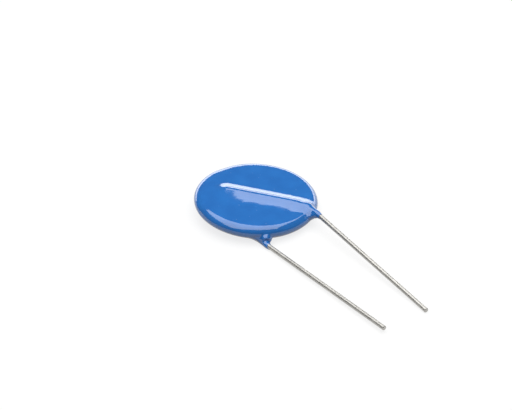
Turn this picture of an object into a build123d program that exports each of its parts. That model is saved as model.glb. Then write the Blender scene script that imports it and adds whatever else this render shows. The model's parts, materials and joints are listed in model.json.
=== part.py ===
from build123d import *
import os
from math import atan2, cos, degrees, hypot, radians, sin, sqrt, tan

# A radial disc varistor: a zinc oxide disc with a silver electrode on each face, a wire lead
# soldered across each electrode, and one dipped epoxy coating over it all. Sizes are in mm and
# degrees. It is built lying flat about the middle of its disc, with the leads towards -Y and the
# upper lead on the +X side. At the end all of it is set down as it comes to rest on a table.

# Coating: flat faces, and a rim of three arcs, the outermost one the tightest
coated_diameter = 21.5
coated_thickness = 2.6
rim_reach = 1.6
rim_round = 1.0

# Ridge of coating over each lead: a low tent in section, wider on the inner side of the bend
skin_over_lead = 0.22
nose_reach = 2.6
outer_reach = 2.4
inner_reach = 3.7
crest_width = 0.8
crest_drop = 0.06
flank_turn = 12.0
ridge_root_depth = 1.1
foot_sink = 0.02

# Neck of coating down each lead: a sleeve on the wire, and a web from it to the rim.
# A value that ends in back says how far back from the coating's end that form starts or is whole.
neck_length = 0.65
skin_at_end = 0.1
sleeve_skin = 0.22
sleeve_turn = 64.0
sleeve_foot_angle = 19.0
sleeve_whole_back = 0.5
web_reach = 1.8
web_root_depth = 1.4
web_start_back = 0.55
web_whole_back = 1.9
outer_start_back = 1.8
outer_whole_back = 4.6
foot_free_margin = 0.6
foot_seat_margin = 0.3
run_before_bend = 1.0
neck_sections = 16
section_crowding = 1.3

# Ceramic disc and its electrodes
coating_over_edge = 0.75
ceramic_thickness = 1.5
ceramic_edge_break = 0.15
bare_margin = 0.8
electrode_film = 0.05

# Leads: the soldered leg crosses the middle of the disc and bends, inside the rim, into line with
# the free leg, which turns slightly just inside the coating's end
wire_diameter = 0.8
lead_pitch = 10.5
tip_pitch = 8.8
bend_inside_rim = 4.05
bend_radius = 5.5
turn_inside = 0.15
turn_radius = 3.0
tip_reach = 41.0
tip_height = 0.0
soldered_end_reach = 5.6
tip_burr_break = 0.06

# Solder round each soldered leg
solder_film = 0.05
solder_over_wire = 0.06
solder_width = 2.6
solder_crown_width = 0.6
solder_crown_drop = 0.1
solder_hollow = 0.12
solder_to_bend = 0.6

# Worked out from the sizes above
coated_radius = coated_diameter / 2
face_height = coated_thickness / 2
flat_radius = coated_radius - rim_reach
shoulder_round = ((rim_reach - rim_round) ** 2 + face_height**2 - rim_round**2) / 2 / (face_height - rim_round)
shoulder_end_radius = flat_radius + (rim_reach - rim_round) * shoulder_round / (shoulder_round - rim_round)
ceramic_radius = coated_radius - coating_over_edge
electrode_radius = ceramic_radius - bare_margin
electrode_height = ceramic_thickness / 2 + electrode_film
wire_radius = wire_diameter / 2
lead_height = electrode_height + solder_film + wire_radius
crest_height = wire_radius + skin_over_lead
coating_end_reach = coated_radius + neck_length
turn_reach = coating_end_reach - turn_inside
bend_reach = coated_radius - bend_inside_rim
leg_angle = degrees(atan2(lead_pitch / 2, bend_reach))
bend_run = bend_radius * tan(radians(leg_angle / 2))
leg_to_bend = hypot(lead_pitch / 2, bend_reach) - bend_run


def leg_point(past_centre):
    """Point on the soldered leg's line, this far past the middle of the disc."""
    return Vector(
        -past_centre * sin(radians(leg_angle)),
        past_centre * cos(radians(leg_angle)),
        lead_height,
    )


def free_leg_point(reach):
    """Point on the free leg's line, this far from the middle of the disc along -Y."""
    share = (reach - turn_reach) / (tip_reach - turn_reach)
    return Vector(
        (lead_pitch + (tip_pitch - lead_pitch) * share) / 2,
        -reach,
        lead_height + (tip_height - lead_height) * share,
    )


def lead_route(past_centre, reach):
    """Middle line of the upper lead between two places on it."""
    return FilletPolyline(
        leg_point(past_centre),
        Vector(lead_pitch / 2, -bend_reach, lead_height),
        Vector(lead_pitch / 2, -turn_reach, lead_height),
        free_leg_point(reach),
        radius=[bend_radius, turn_radius],
    )


def upright_plane(place, along):
    """Plane square to a direction: its x runs level to one side, and its y runs upwards."""
    return Plane(origin=place, x_dir=Vector(0, 0, 1).cross(along), z_dir=along)


def across_route(route, distance):
    """Upright plane square to a route, this far along it."""
    share = distance / route.length
    return upright_plane(route @ share, route % share)


def lead():
    """Upper lead: one round wire, with its cut tip very slightly rounded."""
    route = lead_route(soldered_end_reach, tip_reach)
    wire = sweep(across_route(route, 0) * Circle(wire_radius), path=route)
    tip_edge = wire.edges().filter_by(GeomType.CIRCLE).sort_by(Axis.Y)[0]
    return chamfer(tip_edge, tip_burr_break)


def solder_profile():
    """Half section of the solder beside the wire: hollow flank, then a low crown over it."""
    foot = Vector(solder_width / 2, -wire_radius - solder_film)
    crown = Vector(0, wire_radius + solder_over_wire)
    shoulder = Vector(solder_crown_width / 2, crown.Y - solder_crown_drop)
    flank_middle = (foot + shoulder) / 2 - Vector(solder_hollow, solder_hollow)
    return make_face(
        [
            Line((0, foot.Y), foot),
            ThreePointArc(foot, flank_middle, shoulder),
            Line(shoulder, crown),
            Line(crown, (0, foot.Y)),
        ]
    )


def solder_joint(wire):
    """Upper solder joint: a mound along the soldered leg with round ends, filled by the wire."""
    start = leg_point(soldered_end_reach)
    end = leg_point(solder_to_bend - leg_to_bend)
    along = (end - start).normalized()
    half = upright_plane(start, along) * solder_profile()
    half_run = extrude(half, (end - start).length, dir=along)
    joint = half_run + mirror(half_run, about=Plane(origin=start, z_dir=upright_plane(start, along).x_dir))
    for place in (start, end):
        joint += revolve(upright_plane(place, along) * solder_profile(), Axis(place, (0, 0, 1)))
    return joint - wire


def electrode():
    """Upper electrode: a fired silver film, smaller than the ceramic by a bare margin."""
    film = Cylinder(electrode_radius, electrode_film, align=(Align.CENTER, Align.CENTER, Align.MIN))
    return Pos(0, 0, ceramic_thickness / 2) * film


def ceramic_disc():
    """Pressed and sintered disc with its two edges just broken."""
    disc = Cylinder(ceramic_radius, ceramic_thickness)
    return chamfer(disc.edges().filter_by(GeomType.CIRCLE), ceramic_edge_break)


def surface_height(radius):
    """Height of the coated disc's upper side at a radius, down to the middle of its rim."""
    if radius < flat_radius:
        return face_height
    if radius < shoulder_end_radius:
        return face_height - shoulder_round + sqrt(shoulder_round**2 - (radius - flat_radius) ** 2)
    return sqrt(rim_round**2 - (radius - coated_radius + rim_round) ** 2)


def coated_disc():
    """Body of the coating: flat faces, and a rim of shoulder arc, outermost arc and shoulder arc."""
    shoulder_end = (shoulder_end_radius, surface_height(shoulder_end_radius))
    lower_shoulder_end = (shoulder_end[0], -shoulder_end[1])
    profile = make_face(
        [
            TangentArc((flat_radius, face_height), shoulder_end, tangent=(1, 0)),
            ThreePointArc(shoulder_end, (coated_radius, 0), lower_shoulder_end),
            TangentArc((flat_radius, -face_height), lower_shoulder_end, tangent=(1, 0)),
            Line((flat_radius, -face_height), (0, -face_height)),
            Line((0, -face_height), (0, face_height)),
            Line((0, face_height), (flat_radius, face_height)),
        ]
    )
    return revolve(Plane.XZ * profile, Axis.Z)


def eased(value, start, end):
    """Share from 0 at the start to 1 at the end, level at both."""
    share = min(1, max(0, (value - start) / (end - start)))
    return share * share * (3 - 2 * share)


def between(first, second, share):
    """First value at a share of 0, second at 1."""
    return first + (second - first) * share


def flank(reach, foot_height, sleeve, share):
    """Shoulder, middle and foot of a flank: the sleeve's round side at 0, the ridge's hollow one at 1."""
    on_sleeve = Vector(sleeve, sleeve) * sin(radians(45))
    on_ridge = Vector(crest_width / 2, crest_height - crest_drop)
    shoulder = between(on_sleeve, on_ridge, share)
    chord = Vector(reach, foot_height) - shoulder
    out = Vector(-chord.Y, chord.X) / 2
    bow = between(tan(radians(sleeve_turn / 4)), -tan(radians(flank_turn / 4)), share)
    middle = shoulder + chord / 2 + out * bow
    return [(shoulder.X, shoulder.Y), (middle.X, middle.Y), (reach, foot_height)]


def closed_section(crest, outer, inner, root):
    """Section about the lead's axis: crest, outer flank, root and inner flank, each one arc."""
    inner = [(-side, height) for side, height in inner]
    return make_face(
        [
            ThreePointArc(inner[0], (0, crest), outer[0]),
            ThreePointArc(*outer),
            ThreePointArc(outer[2], (0, -root), inner[2]),
            ThreePointArc(*reversed(inner)),
        ]
    )


def ridge_section(outer, inner):
    """Section of the ridge where it lies on the flat face."""
    foot = face_height - lead_height - foot_sink
    flanks = [flank(reach, foot, crest_height, 1) for reach in (outer, inner)]
    return closed_section(crest_height, *flanks, ridge_root_depth)


def neck_section(route, back):
    """Section where the ridge is drawn in: its feet ride over the rim, then on the sleeve's sides."""
    plane = across_route(route, route.length - back)
    sleeve = wire_radius + between(skin_at_end, sleeve_skin, eased(back, 0, sleeve_whole_back))
    side = sleeve * cos(radians(sleeve_foot_angle))
    side_height = -sleeve * sin(radians(sleeve_foot_angle))
    web = eased(back, web_start_back, web_whole_back)
    widening = eased(back, web_whole_back, route.length)
    outer = between(side, outer_reach, eased(back, outer_start_back, outer_whole_back))
    inner = between(side, web_reach, web) + (inner_reach - web_reach) * widening
    flanks = []
    for hand, reach in ((1, outer), (-1, inner)):
        place = plane.origin + plane.x_dir * hand * reach
        radius = hypot(place.X, place.Y)
        seated = eased(coated_radius + foot_free_margin - radius, 0, foot_free_margin + foot_seat_margin)
        on_disc = surface_height(min(radius, coated_radius - foot_seat_margin)) - foot_sink
        foot = between(side_height, on_disc - plane.origin.Z, seated)
        flanks.append(flank(reach, foot, sleeve, eased(reach, side, 2 * sleeve)))
    crest = between(sleeve, crest_height, web)
    root = between(sleeve, web_root_depth, web) + (ridge_root_depth - web_root_depth) * widening
    return plane * closed_section(crest, *flanks, root)


def ridge():
    """Upper ridge: a round nose, the widening run along the soldered leg, then the bend and the neck."""
    nose = leg_point(soldered_end_reach)
    run_end = leg_point(run_before_bend - leg_to_bend)
    start = upright_plane(nose, (run_end - nose).normalized())
    end = upright_plane(run_end, start.z_dir)
    narrow = ridge_section(nose_reach, nose_reach)
    run = loft([start * narrow, end * ridge_section(outer_reach, inner_reach)])
    half = narrow & Pos(2 * nose_reach, 0) * Rectangle(4 * nose_reach, 4 * face_height)
    cap = revolve(start * half, Axis(nose, (0, 0, 1)))
    route = lead_route(run_before_bend - leg_to_bend, coating_end_reach)
    sections = []
    for i in range(neck_sections + 1):
        back = route.length * (1 - i / neck_sections) ** section_crowding
        sections.append(neck_section(route, back))
    return run + cap + loft(sections)


def turned_over(piece):
    """The same piece on the other face: half a turn about the line between the leads."""
    return piece.rotate(Axis.Y, 180)


def rest_location(pieces):
    """Where the part comes to rest: on the lower ridge's nose, the lower sleeve and the upper tip."""
    nose = leg_point(soldered_end_reach)
    tip = free_leg_point(tip_reach)
    on_nose = Vector(-nose.X, nose.Y, -lead_height - crest_height)
    on_sleeve = Vector(
        -lead_pitch / 2,
        sleeve_whole_back - coating_end_reach,
        -lead_height - wire_radius - sleeve_skin,
    )
    on_tip = Vector(tip.X, tip.Y, tip.Z - wire_radius)
    across = (on_sleeve - on_nose).cross(on_tip - on_nose)
    up = across if across.Z > 0 else -across
    level = Plane(origin=(0, 0, 0), x_dir=Vector(0, 1, 0).cross(up), z_dir=up).location.inverse()
    box = Compound(children=[level * piece for piece in pieces]).bounding_box()
    middle = box.center()
    return Pos(-middle.X, -middle.Y, -box.min.Z) * level


def build():
    """All the pieces by name, flat about the middle of the disc."""
    upper_lead = lead()
    upper_solder = solder_joint(upper_lead)
    pieces = {
        "ceramic_disc": ceramic_disc(),
        "silver_electrode_top": electrode(),
        "silver_electrode_bottom": turned_over(electrode()),
        "solder_joint_top": upper_solder,
        "solder_joint_bottom": turned_over(upper_solder),
        "lead_top": upper_lead,
        "lead_bottom": turned_over(upper_lead),
    }
    upper_ridge = ridge()
    coating = coated_disc() + upper_ridge + turned_over(upper_ridge)
    for piece in pieces.values():
        coating -= piece
    pieces["epoxy_coating"] = coating
    return pieces


def main():
    os.makedirs("parts", exist_ok=True)
    pieces = build()
    place = rest_location(list(pieces.values()))
    for name, piece in pieces.items():
        export_step(place * piece, os.path.join("parts", name + ".step"))


main()
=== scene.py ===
import json
from math import cos, pi, radians, sin

import bmesh
import bpy
from mathutils import Matrix, Vector
from mathutils.bvhtree import BVHTree


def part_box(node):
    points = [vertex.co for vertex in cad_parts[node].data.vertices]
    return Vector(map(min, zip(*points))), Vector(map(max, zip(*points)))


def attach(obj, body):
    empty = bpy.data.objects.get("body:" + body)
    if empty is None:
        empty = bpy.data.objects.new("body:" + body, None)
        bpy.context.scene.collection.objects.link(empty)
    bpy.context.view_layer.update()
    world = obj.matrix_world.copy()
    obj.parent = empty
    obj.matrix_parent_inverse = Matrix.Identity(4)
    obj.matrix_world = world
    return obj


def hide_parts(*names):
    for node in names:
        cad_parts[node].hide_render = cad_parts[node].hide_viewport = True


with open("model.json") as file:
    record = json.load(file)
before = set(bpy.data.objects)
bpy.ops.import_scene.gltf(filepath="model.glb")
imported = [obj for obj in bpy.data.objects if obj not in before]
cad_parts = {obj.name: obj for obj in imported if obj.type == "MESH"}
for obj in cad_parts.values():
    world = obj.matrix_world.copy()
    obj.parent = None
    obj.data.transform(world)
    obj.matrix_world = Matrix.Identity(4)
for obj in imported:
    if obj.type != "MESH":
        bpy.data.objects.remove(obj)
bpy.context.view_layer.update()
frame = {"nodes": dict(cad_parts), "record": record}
mm = 0.001

# View: where the photograph was taken from, about the middle of the disc
view_azimuth = -35.62
view_elevation = 34.45
view_distance = 0.43
view_roll = -1.25
view_lens = 174.7
aim_below_disc = 0.81 * mm

# Light: a large soft box overhead, a low pale panel behind, and a dim room. The box leans by a hair,
# so that the way its long side runs is settled.
overhead_height = 0.60
overhead_behind, overhead_before = 0.50, 0.46
overhead_width = 1.0
overhead_radiance = 2.25
panel_distance = 0.80
panel_low, panel_high = 0.0, 0.20
panel_width = 1.6
panel_radiance = 2.2
room_level = 0.07
lamp_lean = 0.0001

# Coating: the outer skin of the solid, drawn fine enough that the resin's soft corners show
merge_distance = 0.0001 * mm
touching_distance = 0.01 * mm
skin_voxel = 0.11 * mm
skin_smoothings, smoothing_share = 8, 0.5

# Sag of the upper ridge: the resin ran to the inner side of the soldered leg and widened its foot.
# The leg's turn is from the free legs' direction, and places are told from the middle of the disc.
leg_turn = 38.1
sag_shift = 0.5 * mm
sag_widening = 2.6 * mm
crest_half_width = 0.4 * mm
foot_reach = 2.6 * mm
# Off to either side of the leg: whole up to the first place, none past the second
sag_whole, sag_end = 3.0 * mm, 10.0 * mm
# Along the leg, towards its soldered end: none before the first place, whole past the second
sag_bend_end, sag_bend_whole = -11.5 * mm, -8.0 * mm
sag_widening_start, sag_widening_whole = -0.5 * mm, 5.5 * mm
# Out from the middle: whole up to the first place, none past the second
sag_rim_whole, sag_rim_end = 8.2 * mm, 10.4 * mm
widening_rim_whole, widening_rim_end = 4.5 * mm, 9.1 * mm

# Nose of the upper ridge: the resin stands a little steeper over the leg's soldered end. Along the
# leg, the pull starts, is whole, is kept up to the third place and ends at the fourth.
nose_pull = 0.4 * mm
nose_start, nose_whole, nose_kept, nose_end = 2.0 * mm, 5.0 * mm, 7.6 * mm, 9.1 * mm

# Shoulders: the part was dipped with its leads up, so the rim is a little fuller beside the leads and
# rounder at the far end. Reaches are told from the middle of the disc.
shoulder_push = 0.35 * mm
shoulder_start, shoulder_whole, shoulder_end = 7.6 * mm, 9.2 * mm, 10.5 * mm

# Ends of the necks, which thin to a feather edge on the wire. Off the wire's line the shaping is whole
# up to the first reach and none past the second, and back from the end it is the other way round.
neck_radius, neck_reach = 0.65 * mm, 1.2 * mm
neck_drawn, neck_whole = 2.4 * mm, 0.2 * mm
neck_taper, feather_edge = 1.1 * mm, 0.07 * mm
# Each neck's lead, its barer side, how far its end is drawn back and how much further on that side
neck_ends = (
    ("lead_bottom_pin", (0, 0, 1), 0.2 * mm, 0.5 * mm),
    ("lead_top_pin", (1, 0, 0.8), -0.1 * mm, 0.15 * mm),
)

# Floor: a matt board, seen as white with a soft share of the shadow. It throws little light back, and
# shows dimmer in the part's gloss than to the eye.
floor_half_side = 3.0
floor_seen_colour = "#FFFFFF"
floor_thrown_colour = "#959595"
floor_own_white = 0.8
floor_mirrored_share = 0.5


def linear(code, alpha=1.0):
    """Linear colour of an sRGB hex value."""
    parts = [int(code[i : i + 2], 16) / 255 for i in (1, 3, 5)]
    return tuple(c / 12.92 if c <= 0.04045 else ((c + 0.055) / 1.055) ** 2.4 for c in parts) + (alpha,)


def add_node(tree, kind, values=None, links=None, **settings):
    """One node of a tree, with its settings, its plain values and the sockets that feed it."""
    node = tree.nodes.new(kind)
    for name, value in settings.items():
        setattr(node, name, value)
    for socket, value in (values or {}).items():
        node.inputs[socket].default_value = value
    for socket, source in (links or {}).items():
        tree.links.new(source, node.inputs[socket])
    return node


def new_material(name):
    """An empty node material and its tree."""
    material = bpy.data.materials.new(name)
    material.use_nodes = True
    material.node_tree.nodes.clear()
    return material, material.node_tree


def finish_material(tree, shader):
    """Sends a shader to the surface."""
    add_node(tree, "ShaderNodeOutputMaterial", links={"Surface": shader.outputs[0]})


def colour_between(tree, share, first, second, low=0.0, high=1.0):
    """Colour that goes from one hex value to another as a pattern goes from low to high."""
    ramp = add_node(tree, "ShaderNodeValToRGB", links={"Fac": share})
    ramp.color_ramp.elements[0].position = low
    ramp.color_ramp.elements[0].color = linear(first)
    ramp.color_ramp.elements[1].position = high
    ramp.color_ramp.elements[1].color = linear(second)
    return ramp.outputs["Color"]


def noise(tree, place, size, detail):
    """Cloudy pattern whose patches have a given size."""
    return add_node(tree, "ShaderNodeTexNoise", {"Scale": 1 / size, "Detail": detail}, {"Vector": place})


def bump_of(tree, pattern, height):
    """Bumps of a given height that follow a pattern."""
    return add_node(tree, "ShaderNodeBump", {"Distance": height}, {"Height": pattern.outputs["Fac"]})


def dipped_epoxy():
    """Filled epoxy, dipped and oven cured: it flows out glossy, with faint waves and a few pale specks."""
    material, tree = new_material("dipped_blue_epoxy")
    place = add_node(tree, "ShaderNodeTexCoord").outputs["Object"]
    # Pigment clouds about 3 mm across
    clouds = noise(tree, place, 3 * mm, 3.0)
    blue = colour_between(tree, clouds.outputs["Fac"], "#2873C5", "#2C7ACD", 0.35, 0.65)
    # Specks of filler about 0.12 mm across, some 1.2 mm apart
    specks = add_node(tree, "ShaderNodeTexVoronoi", {"Scale": 1 / (1.2 * mm)}, {"Vector": place})
    speck = add_node(
        tree,
        "ShaderNodeMapRange",
        {"From Min": 0.05, "From Max": 0.09, "To Min": 0.3, "To Max": 0.0},
        {"Value": specks.outputs["Distance"]},
    )
    speckled = add_node(
        tree,
        "ShaderNodeMix",
        {"B": linear("#A9C6EC")},
        {"Factor": speck.outputs["Result"], "A": blue},
        data_type="RGBA",
    )
    # Waves left by the resin as it flowed, about 2.5 mm long and 2 thousandths of a mm high
    waves = noise(tree, place, 2.5 * mm, 2.0)
    bump = bump_of(tree, waves, 0.002 * mm)
    shader = add_node(
        tree,
        "ShaderNodeBsdfPrincipled",
        {"Roughness": 0.1, "IOR": 1.55, "Coat Weight": 1.0, "Coat Roughness": 0.06, "Coat IOR": 1.5},
        {"Normal": bump.outputs["Normal"], "Coat Normal": bump.outputs["Normal"]},
    )
    tree.links.new(speckled.outputs["Result"], shader.inputs["Base Color"])
    finish_material(tree, shader)
    return material


def tinned_wire():
    """Copper wire, drawn and hot tinned: warm grey metal, satin, with fine marks along its length."""
    material, tree = new_material("tinned_copper_wire")
    place = add_node(tree, "ShaderNodeTexCoord").outputs["Object"]
    # Draw marks 0.08 mm apart across the wire and about 4 mm long
    across, lengthwise = 1 / (0.08 * mm), 1 / (4 * mm)
    along = add_node(tree, "ShaderNodeMapping", {"Scale": (across, lengthwise, across)}, {"Vector": place})
    marks = noise(tree, along.outputs["Vector"], 1.0, 2.0)
    # Dull patches of oxide about 1.5 mm long
    patches = noise(tree, place, 1.5 * mm, 3.0)
    grey = colour_between(tree, patches.outputs["Fac"], "#C4C2BD", "#D6D4CF", 0.3, 0.7)
    spread = {"To Min": 0.38, "To Max": 0.55}
    rough = add_node(tree, "ShaderNodeMapRange", spread, {"Value": patches.outputs["Fac"]})
    bump = bump_of(tree, marks, 0.002 * mm)
    shader = add_node(
        tree,
        "ShaderNodeBsdfPrincipled",
        {"Metallic": 1.0},
        {"Base Color": grey, "Roughness": rough.outputs["Result"], "Normal": bump.outputs["Normal"]},
    )
    finish_material(tree, shader)
    return material


def hidden_metal(name, first, second, patch, rough, grain_height):
    """A metal inside the coating: two close greys in patches, and a fine grain of the same size."""
    material, tree = new_material(name)
    place = add_node(tree, "ShaderNodeTexCoord").outputs["Object"]
    grain = noise(tree, place, patch, 3.0)
    bump = bump_of(tree, grain, grain_height)
    shader = add_node(
        tree,
        "ShaderNodeBsdfPrincipled",
        {"Metallic": 1.0, "Roughness": rough},
        {
            "Base Color": colour_between(tree, grain.outputs["Fac"], first, second, 0.3, 0.7),
            "Normal": bump.outputs["Normal"],
        },
    )
    finish_material(tree, shader)
    return material


def fired_silver():
    """Silver paste, screened on and fired: pale, matt and finely grained."""
    return hidden_metal("fired_silver", "#C9C6BC", "#DAD8D0", 0.05 * mm, 0.5, 0.004 * mm)


def tin_solder():
    """Tin solder, melted and set: blue-grey and half bright, in soft crystals."""
    return hidden_metal("tin_solder", "#B4B6B8", "#C8CACC", 0.6 * mm, 0.3, 0.01 * mm)


def sintered_ceramic():
    """Zinc oxide, pressed and sintered: dark green-grey and matt, with grains that just show."""
    material, tree = new_material("sintered_zinc_oxide")
    place = add_node(tree, "ShaderNodeTexCoord").outputs["Object"]
    grain = noise(tree, place, 0.1 * mm, 4.0)
    bump = bump_of(tree, grain, 0.01 * mm)
    shader = add_node(
        tree,
        "ShaderNodeBsdfPrincipled",
        {"Roughness": 0.75, "IOR": 1.9},
        {
            "Base Color": colour_between(tree, grain.outputs["Fac"], "#4A4F4B", "#5D625E", 0.3, 0.7),
            "Normal": bump.outputs["Normal"],
        },
    )
    finish_material(tree, shader)
    return material


def dress(node, material):
    """Gives a carried-over node its finished material."""
    mesh = frame["nodes"][node].data
    mesh.materials.clear()
    mesh.materials.append(material)


def finished_mesh(name, piece):
    """Mesh of a piece with its modifiers applied."""
    graph = bpy.context.evaluated_depsgraph_get()
    mesh = bpy.data.meshes.new_from_object(piece.evaluated_get(graph))
    mesh.name = name
    return mesh


def tree_of(node):
    """Search tree of a CAD node's surface."""
    mesh = frame["nodes"][node].data
    return BVHTree.FromPolygons([v.co for v in mesh.vertices], [tuple(p.vertices) for p in mesh.polygons])


def outer_skin():
    """Closed outer skin of the coating's solid: the faces that touch what is inside are taken off."""
    form = bmesh.new()
    form.from_mesh(frame["nodes"]["epoxy_coating"].data)
    bmesh.ops.remove_doubles(form, verts=form.verts, dist=merge_distance)
    inner = [tree_of(node) for node in frame["nodes"] if node != "epoxy_coating"]
    hidden = [
        face
        for face in form.faces
        if any(tree.find_nearest(face.calc_center_median(), touching_distance)[0] for tree in inner)
    ]
    bmesh.ops.delete(form, geom=hidden, context="FACES")
    bmesh.ops.holes_fill(form, edges=[edge for edge in form.edges if edge.is_boundary], sides=0)
    bmesh.ops.triangulate(form, faces=form.faces)
    return form


def eased(value, start, end):
    """Share from 0 at the start to 1 at the end, level at both."""
    share = min(1, max(0, (value - start) / (end - start)))
    return share * share * (3 - 2 * share)


def level_ahead(up):
    """Direction from the disc towards the leads, level with the disc."""
    return (Vector((0, -1, 0)) + up * up.y).normalized()


def sag_upper_ridge(form, middle, up):
    """Moves the upper side's points level: the ridge leans inwards, and its nose is drawn in."""
    ahead = level_ahead(up)
    side = ahead.cross(up)
    turn = radians(leg_turn)
    along = side * sin(turn) - ahead * cos(turn)
    across = up.cross(along)
    for vert in form.verts:
        place = vert.co - middle
        if place.dot(up) < 0:
            continue
        off, run = place.dot(across), place.dot(along)
        reach = (place - up * place.dot(up)).length
        near_leg = 1 - eased(abs(off), sag_whole, sag_end)
        kept = near_leg * (1 - eased(reach, sag_rim_whole, sag_rim_end))
        kept *= eased(run, sag_bend_end, sag_bend_whole)
        foot = min(1, max(0, (off - crest_half_width) / (foot_reach - crest_half_width)))
        wider = sag_widening * foot * eased(run, sag_widening_start, sag_widening_whole)
        wider *= 1 - eased(reach, widening_rim_whole, widening_rim_end)
        steeper = nose_pull * eased(run, nose_start, nose_whole) * (1 - eased(run, nose_kept, nose_end))
        steeper *= near_leg
        vert.co += across * kept * (sag_shift + wider) - along * steeper


def fill_shoulders(form, middle, up):
    """Moves the shoulders of the rim level with the disc: out beside the leads, in at the far end."""
    ahead = level_ahead(up)
    for vert in form.verts:
        place = vert.co - middle
        flat = place - up * place.dot(up)
        reach = flat.length
        if shoulder_start < reach < shoulder_end:
            share = eased(reach, shoulder_start, shoulder_whole)
            share *= 1 - eased(reach, shoulder_whole, shoulder_end)
            outwards = flat / reach
            vert.co += outwards * shoulder_push * share * outwards.dot(ahead)


def neck_end(mount):
    """Where a lead leaves its neck of coating, the way it goes and its radius."""
    pin = next(m for m in frame["record"]["mounts"] if m["name"] == mount)
    way = Vector(pin["axis"])
    length, radius = pin["dims"]["length_mm"] * mm, pin["dims"]["r_mm"] * mm
    return Vector(pin["pos_m"]) - way * length / 2, way, radius


def slant_end(form, mount, bare_side, pull_back, slant):
    """Thins a neck's end and draws it back along its wire, further on its barer side."""
    end, way, wire_radius = neck_end(mount)
    thinnest = wire_radius + feather_edge
    for vert in form.verts:
        place = vert.co - end
        run = place.dot(way)
        off = place - way * run
        if off.length < neck_reach and run > -neck_drawn:
            near = 1 - eased(off.length, neck_radius, neck_reach)
            share = eased(run, -neck_drawn, -neck_whole) * near
            vert.co -= way * share * (pull_back + slant * off.dot(bare_side) / neck_radius)
            if off.length > thinnest:
                vert.co -= off.normalized() * (off.length - thinnest) * eased(run, -neck_taper, 0) * near


def even_skin():
    """The outer skin with a fine, even mesh and softened edges."""
    form = outer_skin()
    shell = bpy.data.meshes.new("coating_shell")
    form.to_mesh(shell)
    form.free()
    draft = bpy.data.objects.new("coating_draft", shell)
    bpy.context.scene.collection.objects.link(draft)
    remesh = draft.modifiers.new("even_mesh", "REMESH")
    remesh.mode = "VOXEL"
    remesh.voxel_size = skin_voxel
    even = finished_mesh("even_skin", draft)
    bpy.data.objects.remove(draft)
    form = bmesh.new()
    form.from_mesh(even)
    bpy.data.meshes.remove(even)
    axes = {"use_axis_x": True, "use_axis_y": True, "use_axis_z": True}
    for _ in range(skin_smoothings):
        bmesh.ops.smooth_vert(form, verts=form.verts, factor=smoothing_share, **axes)
    return form


def disc_place():
    """Middle of the disc, and the way its upper face looks: both from the two electrodes."""
    low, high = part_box("silver_electrode_bottom"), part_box("silver_electrode_top")
    under, over = (low[0] + low[1]) / 2, (high[0] + high[1]) / 2
    return (under + over) / 2, (over - under).normalized()


def make_coating(material):
    """The coating as one smooth skin, in place of its CAD node."""
    form = even_skin()
    middle, up = disc_place()
    fill_shoulders(form, middle, up)
    sag_upper_ridge(form, middle, up)
    for mount, side, pull_back, slant in neck_ends:
        slant_end(form, mount, Vector(side).normalized(), pull_back, slant)
    skin = bpy.data.meshes.new("coating_skin")
    form.to_mesh(skin)
    form.free()
    skin.polygons.foreach_set("use_smooth", [True] * len(skin.polygons))
    skin.materials.append(material)
    coating = bpy.data.objects.new("dipped_coating", skin)
    bpy.context.scene.collection.objects.link(coating)
    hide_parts("epoxy_coating")
    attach(coating, "root")


def direction(azimuth, elevation):
    """Unit vector from the object to a viewer there: azimuth 0 looks along +Y."""
    a, e = radians(azimuth), radians(elevation)
    return Vector((sin(a) * cos(e), -cos(a) * cos(e), sin(e)))


def facing(place, target, roll=0.0):
    """Matrix that puts a camera or lamp at a place, looking at a target, with its own up upwards."""
    back = (place - target).normalized()
    right = Vector((0, 0, 1)).cross(back).normalized()
    up = back.cross(right)
    turn = Matrix((right, up, back)).transposed().to_4x4()
    return Matrix.Translation(place) @ turn @ Matrix.Rotation(radians(roll), 4, "Z")


def make_camera(middle):
    """Camera where the photograph was taken from."""
    data = bpy.data.cameras.new("camera")
    data.lens = view_lens
    camera = bpy.data.objects.new("camera", data)
    bpy.context.scene.collection.objects.link(camera)
    back = direction(view_azimuth, view_elevation)
    up = back.cross(Vector((0, 0, 1)).cross(back).normalized())
    shift = up * -aim_below_disc
    camera.matrix_world = facing(middle + shift + back * view_distance, middle + shift, view_roll)
    bpy.context.scene.camera = camera


def soft_light(name, place, target, size, radiance):
    """Rectangular lamp with an even face of a given radiance."""
    data = bpy.data.lights.new(name, "AREA")
    data.shape = "RECTANGLE"
    data.size, data.size_y = size
    data.energy = radiance * pi * size[0] * size[1]
    lamp = bpy.data.objects.new(name, data)
    bpy.context.scene.collection.objects.link(lamp)
    lamp.matrix_world = facing(place, target)


def make_lights(middle):
    """The soft box overhead, the low panel behind and the dim room."""
    towards = direction(view_azimuth, 0)
    depth = overhead_behind + overhead_before
    over = middle + towards * (overhead_before - depth / 2) + Vector((0, 0, overhead_height))
    below = over - Vector((0, 0, 1)) - towards * lamp_lean
    soft_light("overhead_box", over, below, (overhead_width, depth), overhead_radiance)
    behind = middle - towards * panel_distance + Vector((0, 0, (panel_low + panel_high) / 2))
    soft_light("back_panel", behind, behind + towards, (panel_width, panel_high - panel_low), panel_radiance)
    world = bpy.data.worlds.new("room")
    world.use_nodes = True
    tree = world.node_tree
    tree.nodes.clear()
    grey = add_node(tree, "ShaderNodeBackground", {"Color": (1, 1, 1, 1), "Strength": room_level})
    add_node(tree, "ShaderNodeOutputWorld", links={"Surface": grey.outputs[0]})
    bpy.context.scene.world = world


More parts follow.
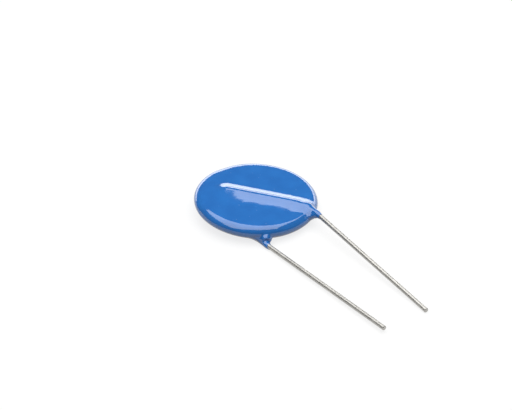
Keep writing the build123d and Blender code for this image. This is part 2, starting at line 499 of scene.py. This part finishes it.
def times(tree, source, factor):
    """A value multiplied by a factor."""
    return add_node(tree, "ShaderNodeMath", {1: factor}, {0: source}, operation="MULTIPLY").outputs[0]


def white_floor():
    """Matt board: rays that see it directly get its own white and a share of the shadow."""
    material, tree = new_material("white_board")
    path = add_node(tree, "ShaderNodeLightPath")
    seen = path.outputs["Is Camera Ray"]
    for ray in ("Is Glossy Ray", "Is Transmission Ray"):
        part = times(tree, path.outputs[ray], floor_mirrored_share)
        more = add_node(tree, "ShaderNodeMath", links={0: seen, 1: part}, operation="MAXIMUM")
        seen = more.outputs[0]
    board = add_node(
        tree,
        "ShaderNodeMix",
        {"A": linear(floor_thrown_colour), "B": linear(floor_seen_colour)},
        {"Factor": seen},
        data_type="RGBA",
    )
    matt = add_node(tree, "ShaderNodeBsdfDiffuse", links={"Color": board.outputs["Result"]})
    white = add_node(tree, "ShaderNodeEmission", {"Color": (1, 1, 1, 1), "Strength": 1.0})
    share = times(tree, seen, floor_own_white)
    mixed = add_node(tree, "ShaderNodeMixShader", links={0: share, 1: matt.outputs[0], 2: white.outputs[0]})
    finish_material(tree, mixed)
    return material


def make_floor():
    """Flat floor under the part."""
    form = bmesh.new()
    bmesh.ops.create_grid(form, x_segments=1, y_segments=1, size=floor_half_side)
    mesh = bpy.data.meshes.new("floor")
    form.to_mesh(mesh)
    form.free()
    mesh.materials.append(white_floor())
    floor = bpy.data.objects.new("floor", mesh)
    bpy.context.scene.collection.objects.link(floor)


def main():
    low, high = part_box("ceramic_disc")
    middle = (low + high) / 2
    make_camera(middle)
    make_lights(middle)
    make_floor()
    wire = tinned_wire()
    silver = fired_silver()
    solder = tin_solder()
    epoxy = dipped_epoxy()
    make_coating(epoxy)
    finishes = {"epoxy_coating": epoxy, "ceramic_disc": sintered_ceramic()}
    for face in ("top", "bottom"):
        finishes["lead_" + face] = wire
        finishes["silver_electrode_" + face] = silver
        finishes["solder_joint_" + face] = solder
    for node, material in finishes.items():
        dress(node, material)
    view = bpy.context.scene.view_settings
    view.view_transform = "Standard"


main()
